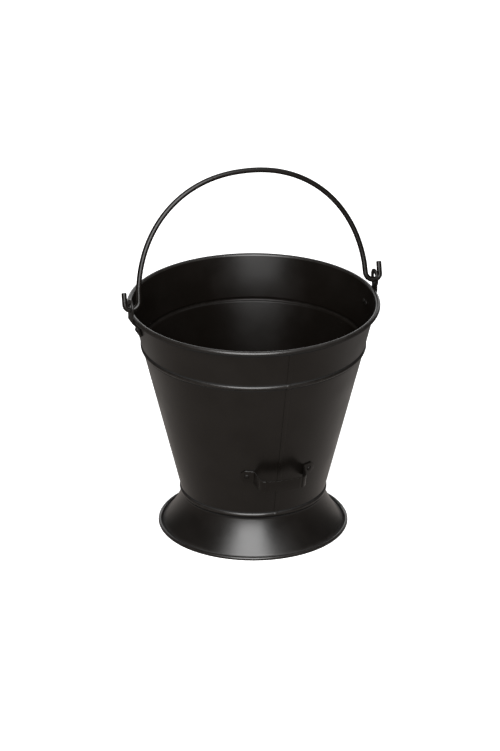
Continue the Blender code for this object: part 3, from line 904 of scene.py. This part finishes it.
foot, foot_verts = draw_profile([neck_top, neck_end])
curl_end(foot, foot_verts[1], flare_centre, FLARE_TURN, CURL_STEPS)
round_corner(foot, foot_verts[1], NECK_SETBACK, NECK_STEPS)
low_end = min(foot.verts, key=lambda vert: vert.co.z)
curl_end(foot, low_end, inner_centre, -end_angle, TUCK_STEPS)
low_end = min(foot.verts, key=lambda vert: vert.co.z)
flat_end = foot.verts.new(low_end.co + Vector((FOOT_FLAT, 0.0, 0.0)))
foot.edges.new((low_end, flat_end))
curl_end(foot, flat_end, outer_centre, FOOT_CURL_TURN + end_angle, CURL_STEPS)
spin_about_z(foot)
foot_skirt = make_piece(
    "flared_foot", foot, sheet_paint, "bucket", "satin_black_sheet", "foot_skirt"
)
settle(thicken(foot_skirt, SHEET, 0.0))
make_wire("foot_ring", outer_centre, FOOT_CURL / 2 - SHEET - WIRE_GAP, "foot_wire")

# %% [markdown]
# ## Flat stock that is bent
#
# The ears and the tipping handle are cut flat and then bent over a former. They are made in
# that order here too: a flat outline, thickened, with its edges rounded, and then every point
# is carried along a bent path. Bending after the bevel keeps the edges even round the bends.


# %% Helpers for bent stock
BEND_STEPS = 10
RIM_SEGMENTS = 3
RIM_ANGLE = math.radians(60)


def arc_points(centre, radius, heading, turn, steps):
    """Points on an arc, by the heading of travel; a positive turn goes to the left."""
    side = math.copysign(1.0, turn)
    points = []
    for step in range(steps + 1):
        angle = heading + turn * step / steps - side * math.pi / 2
        points.append(centre + Vector((math.cos(angle), math.sin(angle))) * radius)
    return points


def round_path(points, radii, steps=BEND_STEPS):
    """An open path whose corners become arcs; a radius of zero keeps its corner."""
    path = [points[0]]
    for before, corner, after, radius in zip(points, points[1:], points[2:], radii):
        if not radius:
            path.append(corner)
            continue
        arriving = math.atan2(*(corner - before).yx)
        leaving = math.atan2(*(after - corner).yx)
        turn = math.remainder(leaving - arriving, math.tau)
        ahead = Vector((math.cos(arriving), math.sin(arriving)))
        start = corner - ahead * radius * abs(math.tan(turn / 2))
        side = math.copysign(1.0, turn)
        centre = start + Vector((-ahead.y, ahead.x)) * side * radius
        path += arc_points(centre, radius, arriving, turn, steps)
    return path + [points[-1]]


def path_length(path):
    """The length of a path through its points."""
    return sum((after - before).length for before, after in zip(path, path[1:]))


def bend_along(shape, path):
    """Carries a flat shape along a path: X goes along it and Z off it, to the left."""
    headings = [(after - before).normalized() for before, after in zip(path, path[1:])]
    starts = [0.0]
    for before, after in zip(path, path[1:]):
        starts.append(starts[-1] + (after - before).length)
    turns = [headings[0]]
    turns += [(a + b).normalized() for a, b in zip(headings, headings[1:])]
    turns.append(headings[-1])
    for vert in shape.verts:
        piece = 0
        while piece < len(headings) - 1 and vert.co.x > starts[piece + 1]:
            piece += 1
        share = (vert.co.x - starts[piece]) / (starts[piece + 1] - starts[piece])
        point = path[piece] + headings[piece] * (vert.co.x - starts[piece])
        heading = turns[piece].lerp(turns[piece + 1], min(max(share, 0.0), 1.0))
        heading.normalize()
        off = Vector((-heading.y, heading.x)) * vert.co.z
        vert.co = (point.x + off.x, vert.co.y, point.y + off.y)


def slice_across(shape, places):
    """Cuts the shape across at each of these places along X, so that it can bend there."""
    for place in places:
        bmesh.ops.bisect_plane(
            shape,
            geom=shape.verts[:] + shape.edges[:] + shape.faces[:],
            dist=WELD,
            plane_co=(place, 0.0, 0.0),
            plane_no=(1.0, 0.0, 0.0),
        )


def raise_plate(shape, thickness, rounding):
    """Thickens a flat face to both sides of its plane and rounds its rims."""
    bmesh.ops.translate(shape, verts=shape.verts, vec=(0.0, 0.0, -thickness / 2))
    grown = bmesh.ops.extrude_face_region(shape, geom=shape.faces[:])
    bmesh.ops.translate(shape, verts=points_in(grown), vec=(0.0, 0.0, thickness))
    bmesh.ops.recalc_face_normals(shape, faces=shape.faces)
    rims = [edge for edge in shape.edges if edge.calc_face_angle(0.0) > RIM_ANGLE]
    bmesh.ops.bevel(
        shape,
        geom=rims,
        offset=rounding,
        offset_type="OFFSET",
        segments=RIM_SEGMENTS,
        profile=0.5,
        affect="EDGES",
        material=-1,
    )


# %% [markdown]
# ## The ears
#
# Each ear is a plate with a round eye. It stands just outside the rim's curl, steps in under
# it, and its tail is riveted to the wall. X of the flat plate runs from the top of the ring
# down to the end of the tail.

# %% Sizes of the ears
EAR_PLATE = 0.0030
EAR_EYE = 0.0140
EAR_RING = 0.0270
EYE_ABOVE_RIM = 0.0143
EAR_STEP_ANGLE = math.radians(45)
EAR_BEND = 0.0040
EAR_TAIL_LENGTH = 0.0158
EAR_TAIL_WIDTH = 0.0190
EAR_TAIL_CORNER = 0.0030
EAR_RIVET_SPACING = 0.0104
EAR_RIVET_DOWN_SHARE = 0.55
EAR_EDGE = 0.0006
RING_STEPS = 64
EAR_SLICES = 60
CORNER_STEPS = 6

eye_height = RIM_HEIGHT + EYE_ABOVE_RIM
ear_clear = RIM_CURL / 2 + SEAT_GAP + EAR_PLATE / 2
ear_face = rim_centre.x + ear_clear
tail_off = SHEET / 2 + SEAT_GAP + EAR_PLATE / 2
step_out = Vector((math.cos(EAR_STEP_ANGLE / 2), -math.sin(EAR_STEP_ANGLE / 2)))
under_rim = rim_centre + step_out * (ear_clear / math.cos(EAR_STEP_ANGLE / 2))
step_way = Vector((-math.sin(EAR_STEP_ANGLE), -math.cos(EAR_STEP_ANGLE)))
tail_line = wall_point(rim_centre.y, 0.0, tail_off)
gap = tail_line - under_rim
across = step_way.x * up_wall.y - step_way.y * up_wall.x
on_wall = under_rim + step_way * ((gap.x * up_wall.y - gap.y * up_wall.x) / across)
ear_top = Vector((ear_face, eye_height + EAR_RING / 2))
ear_end = on_wall - up_wall * EAR_TAIL_LENGTH
ear_path = round_path([ear_top, under_rim, on_wall, ear_end], [ear_clear, EAR_BEND])
ear_length = path_length(ear_path)
print("an ear is", round(ear_length * 1000, 1), "mm long when flat")


# %% Cut and bend an ear
def flat_ear():
    """The flat plate: a ring round the eye that runs into a narrower tail."""
    shape = bmesh.new()
    half = EAR_TAIL_WIDTH / 2
    neck = math.acos(half / (EAR_RING / 2))
    centre = Vector((EAR_RING / 2, 0.0, 0.0))
    start = shape.verts.new((centre.x + math.sin(neck) * EAR_RING / 2, half, 0.0))
    spin_parts(shape, [start], centre, UPWARD, math.pi + 2 * neck, RING_STEPS)
    ends = [vert for vert in shape.verts if len(vert.link_edges) == 1]
    low, high = sorted(ends, key=lambda vert: vert.co.y)
    near = shape.verts.new((ear_length, -half, 0.0))
    far = shape.verts.new((ear_length, half, 0.0))
    for first, second in ((low, near), (near, far), (far, high)):
        shape.edges.new((first, second))
    round_corner(shape, near, EAR_TAIL_CORNER, CORNER_STEPS)
    round_corner(shape, far, EAR_TAIL_CORNER, CORNER_STEPS)
    bmesh.ops.create_circle(
        shape, segments=RING_STEPS, radius=EAR_EYE / 2, matrix=Matrix.Translation(centre)
    )
    bmesh.ops.triangle_fill(shape, use_beauty=True, edges=shape.edges[:])
    slice_across(shape, [ear_length * (n + 0.5) / EAR_SLICES for n in range(EAR_SLICES)])
    raise_plate(shape, EAR_PLATE, EAR_EDGE)
    return shape


def make_ear(side, sign):
    """One ear, bent along its path and turned to its side."""
    shape = flat_ear()
    bend_along(shape, ear_path)
    if sign < 0:
        half_turn = Matrix.Rotation(math.pi, 4, "Z")
        bmesh.ops.transform(shape, matrix=half_turn, verts=shape.verts)
    bmesh.ops.recalc_face_normals(shape, faces=shape.faces)
    ear = make_piece(
        "ear_plate_" + side, shape, fitting_paint, "bucket", "black_fittings", "ear_" + side
    )
    settle(ear, 30.0)
    return ear


make_ear("right", 1)
make_ear("left", -1)

# %% [markdown]
# ## The rivets
#
# Each rivet has a low domed head outside and a small upset end inside the body. It is turned
# from half its section and then carried to its place.

# %% Turn the rivets
RIVET_SHANK = 0.0040
RIVET_HEAD = 0.0076
RIVET_HEAD_RISE = 0.0020
RIVET_UPSET = 0.0066
RIVET_UPSET_THICKNESS = 0.0012
UPSET_EDGE = 0.0003
UPSET_SHOULDER_SHARE = 0.97
UPSET_FACE_SHARE = 0.85
RIVET_STEPS = 40
DOME_STEPS = 12
EAR_SAG = 0.0005


def make_rivet(name, grip, sag, place):
    """A rivet through a plate of this grip, with Z out of the body at its place.

    The sag is how far the round wall falls away from a flat plate behind it.
    """
    seat = SEAT_GAP + grip
    inside = -SHEET - sag - SEAT_GAP
    end = inside - RIVET_UPSET_THICKNESS
    dome = [
        Vector((RIVET_HEAD / 2 * math.sin(angle), seat + RIVET_HEAD_RISE * math.cos(angle)))
        for angle in [math.pi / 2 * step / DOME_STEPS for step in range(DOME_STEPS + 1)]
    ]
    section = dome + [
        Vector((RIVET_SHANK / 2, seat)),
        Vector((RIVET_SHANK / 2, inside)),
        Vector((RIVET_UPSET / 2, inside)),
        Vector((RIVET_UPSET / 2 * UPSET_SHOULDER_SHARE, end + UPSET_EDGE)),
        Vector((RIVET_UPSET / 2 * UPSET_FACE_SHARE, end)),
        Vector((0.0, end)),
    ]
    shape, verts = draw_profile(section)
    spin_about_z(shape, RIVET_STEPS)
    bmesh.ops.transform(shape, matrix=place, verts=shape.verts)
    rivet = make_piece(
        name + "_turned", shape, rivet_paint, "bucket", "black_fittings", name
    )
    return settle(rivet, 40.0)


ear_seat = on_wall - up_wall * (EAR_TAIL_LENGTH * EAR_RIVET_DOWN_SHARE)
ear_seat = ear_seat + off_wall * (SHEET / 2 - tail_off)
for side, sign in (("right", 1), ("left", -1)):
    for end, shift in (("front", -1), ("back", 1)):
        azimuth = 0.0 if sign > 0 else math.pi
        spot = Vector((sign * ear_seat.x, shift * EAR_RIVET_SPACING / 2, ear_seat.y))
        turn = Matrix.Rotation(azimuth, 4, "Z")
        turn = turn @ Matrix.Rotation(math.pi / 2 + wall_lean, 4, "Y")
        rivet_name = "ear_rivet_" + side + "_" + end
        make_rivet(rivet_name, EAR_PLATE, EAR_SAG, Matrix.Translation(spot) @ turn)

# %% [markdown]
# ## The tipping handle
#
# A strap of 2 mm steel with clipped corners. Its two feet are curved to the wall and riveted
# there, and its bow stands far enough off for four fingers.

# %% Sizes of the tipping handle
HANDLE_HEIGHT = 0.1315
HANDLE_LENGTH = 0.1150
STRAP = 0.0020
STRAP_WIDTH = 0.0200
STRAP_CLIP = 0.0060
BOW_WIDTH = 0.0780
BOW_FRONT_WIDTH = 0.0700
BOW_DEPTH = 0.0240
BOW_CROWN = 0.0020
BOW_BEND = 0.0095
BOW_ROOT_BEND = 0.0030
STRAP_EDGE = 0.0005
STRAP_SLICES = 150
FOOT_STEPS = 8
FRONT_STEPS = 12
HANDLE_SAG = 0.0003

seat_point = wall_point(HANDLE_HEIGHT, 0.0, SHEET / 2)
seat_radius = seat_point.x / math.cos(wall_lean)


def strap_line():
    """The middle of the strap seen from above, with the wall's surface at zero."""
    bend = seat_radius + SEAT_GAP + STRAP / 2
    end = math.asin(HANDLE_LENGTH / 2 / bend)
    root = math.asin(BOW_WIDTH / 2 / bend)
    foot = []
    for step in range(FOOT_STEPS + 1):
        angle = end + (root - end) * step / FOOT_STEPS
        foot.append(
            Vector((-bend * math.sin(angle), bend * math.cos(angle) - seat_radius))
        )
    half = BOW_FRONT_WIDTH / 2
    front = []
    for step in range(FRONT_STEPS + 1):
        share = 2.0 * step / FRONT_STEPS - 1.0
        front.append(Vector((half * share, BOW_DEPTH - BOW_CROWN * share**2)))
    far_foot = [Vector((-point.x, point.y)) for point in reversed(foot)]
    bends = [BOW_ROOT_BEND, BOW_BEND]
    straight = [0.0] * (FOOT_STEPS - 1)
    radii = straight + bends + [0.0] * (FRONT_STEPS - 1) + bends[::-1] + straight
    return round_path(foot + front + far_foot, radii)


# %% Bend the tipping handle
strap_path = strap_line()
strap_length = path_length(strap_path)
strap = bmesh.new()
bmesh.ops.create_grid(strap, x_segments=1, y_segments=1, size=0.5)
bmesh.ops.scale(strap, vec=(strap_length, STRAP_WIDTH, 1.0), verts=strap.verts)
bmesh.ops.translate(strap, vec=(strap_length / 2, 0.0, 0.0), verts=strap.verts)
for corner in strap.verts[:]:
    round_corner(strap, corner, STRAP_CLIP, 1)
slice_across(strap, [strap_length * (n + 0.5) / STRAP_SLICES for n in range(STRAP_SLICES)])
raise_plate(strap, STRAP, STRAP_EDGE)
bend_along(strap, strap_path)
bmesh.ops.transform(strap, matrix=Matrix.Rotation(math.pi / 2, 4, "X"), verts=strap.verts)
print("the strap is", round(strap_length * 1000, 1), "mm long when flat")

# %% Seat the tipping handle on the wall
# In the shape so far X runs across, -Y off the wall and Z up the strap's width.
lean = Matrix.Translation((0.0, -seat_point.x, seat_point.y))
lean = lean @ Matrix.Rotation(wall_lean, 4, "X")
bmesh.ops.transform(strap, matrix=lean, verts=strap.verts)
bmesh.ops.recalc_face_normals(strap, faces=strap.faces)
strap_handle = make_piece(
    "strap_handle", strap, fitting_paint, "bucket", "black_fittings", "tipping_handle"
)
settle(strap_handle, 30.0)
middle = (HANDLE_LENGTH / 2 + BOW_WIDTH / 2) / 2
swing = math.asin(middle / seat_radius)
inward = Vector((0.0, math.cos(wall_lean), math.sin(wall_lean)))
for side, sign in (("left", -1), ("right", 1)):
    back = inward * seat_radius * (1.0 - math.cos(swing))
    spot = Vector((sign * seat_radius * math.sin(swing), -seat_point.x, seat_point.y)) + back
    axis = Vector((sign * math.sin(swing), 0.0, 0.0)) - inward * math.cos(swing)
    turn = axis.to_track_quat("Z", "Y").to_matrix().to_4x4()
    make_rivet("handle_rivet_" + side, STRAP, HANDLE_SAG, Matrix.Translation(spot) @ turn)

# %% [markdown]
# ## The carrying handle
#
# One round rod. It stands in a tall arch, bends outward through both eyes, and each end turns
# up again to keep it there. The rod is a curve with a round bevel, because a curve keeps its
# section square to the path in every bend. The last points get a smaller radius, which
# rounds the cut ends.

# %% Bend the carrying handle
BAIL_ROD = 0.0080
BAIL_LEG_INSET = 0.0118
BAIL_RISE = 0.1870
BAIL_FULLNESS = 0.93
BAIL_LEAN = math.radians(14)
BAIL_LEG_BEND = 0.0120
HOOK_STANDOFF = 0.0068
HOOK_LENGTH = 0.0265
HOOK_BEND = 0.0080
END_ROUND = 0.0012
ARCH_STEPS = 120
HOOK_STEPS = 14
TIP_STEPS = 5
ROD_RESOLUTION = 6


def rod_line():
    """The rod's middle line in its own plane, with the hinge line at zero."""
    half = ear_face - EAR_PLATE / 2 - BAIL_LEG_INSET
    arch = []
    for step in range(ARCH_STEPS + 1):
        angle = math.pi * step / ARCH_STEPS
        level = max(math.sin(angle), 0.0) ** BAIL_FULLNESS
        reach = abs(math.cos(angle)) ** BAIL_FULLNESS
        along = math.copysign(reach, math.cos(angle))
        arch.append(Vector((half * along, BAIL_RISE * level)))
    hook = ear_face + EAR_PLATE / 2 + HOOK_STANDOFF
    right = [Vector((hook, HOOK_LENGTH)), Vector((hook, 0.0)), arch[0]]
    left = [arch[-1], Vector((-hook, 0.0)), Vector((-hook, HOOK_LENGTH))]
    above = [point for point in arch if point.y > 2 * BAIL_LEG_BEND]
    radii = [HOOK_BEND, BAIL_LEG_BEND] + [0.0] * len(above) + [BAIL_LEG_BEND, HOOK_BEND]
    return round_path(right + above + left, radii, HOOK_STEPS)


rod_path = rod_line()
tips = []
for step in range(1, TIP_STEPS + 1):
    angle = math.pi / 2 * step / TIP_STEPS
    tips.append((END_ROUND * (1.0 - math.cos(angle)), math.sin(angle)))
low_share = 1.0 - END_ROUND / (BAIL_ROD / 2)
start_way = (rod_path[1] - rod_path[0]).normalized()
end_way = (rod_path[-2] - rod_path[-1]).normalized()
rod_points = [(rod_path[0], low_share)]
rod_points += [
    (rod_path[0] + start_way * along, low_share + (1.0 - low_share) * share)
    for along, share in tips
]
rod_points += [(point, 1.0) for point in rod_path[1:-1]]
rod_points += [
    (rod_path[-1] + end_way * along, low_share + (1.0 - low_share) * share)
    for along, share in reversed(tips)
]
rod_points.append((rod_path[-1], low_share))

# %% Draw the rod as a curve and make it a mesh
rod_curve = bpy.data.curves.new("rod", "CURVE")
rod_curve.dimensions = "3D"
rod_curve.bevel_depth = BAIL_ROD / 2
rod_curve.bevel_resolution = ROD_RESOLUTION
rod_curve.use_fill_caps = True
rod_spline = rod_curve.splines.new("POLY")
rod_spline.points.add(len(rod_points) - 1)
slack = EAR_EYE / 2 - BAIL_ROD / 2 - SEAT_GAP
rod_place = Matrix.Translation((0.0, 0.0, eye_height - slack))
rod_place = rod_place @ Matrix.Rotation(-BAIL_LEAN, 4, "X")
for point, (place, thickness) in zip(rod_spline.points, rod_points):
    spot = rod_place @ Vector((place.x, 0.0, place.y))
    point.co = (*spot, 1.0)
    point.radius = thickness
rod_holder = bpy.data.objects.new("rod_holder", rod_curve)
scene.collection.objects.link(rod_holder)
graph = bpy.context.evaluated_depsgraph_get()
rod_mesh = bpy.data.meshes.new_from_object(rod_holder.evaluated_get(graph))
bpy.data.objects.remove(rod_holder)
rod = bmesh.new()
rod.from_mesh(rod_mesh)
bmesh.ops.remove_doubles(rod, verts=rod.verts, dist=WELD)
bmesh.ops.recalc_face_normals(rod, faces=rod.faces)
carrying_handle = make_piece("carrying_handle", rod, rod_paint, "bail", "bail_black", "bail")
settle(carrying_handle, 50.0)
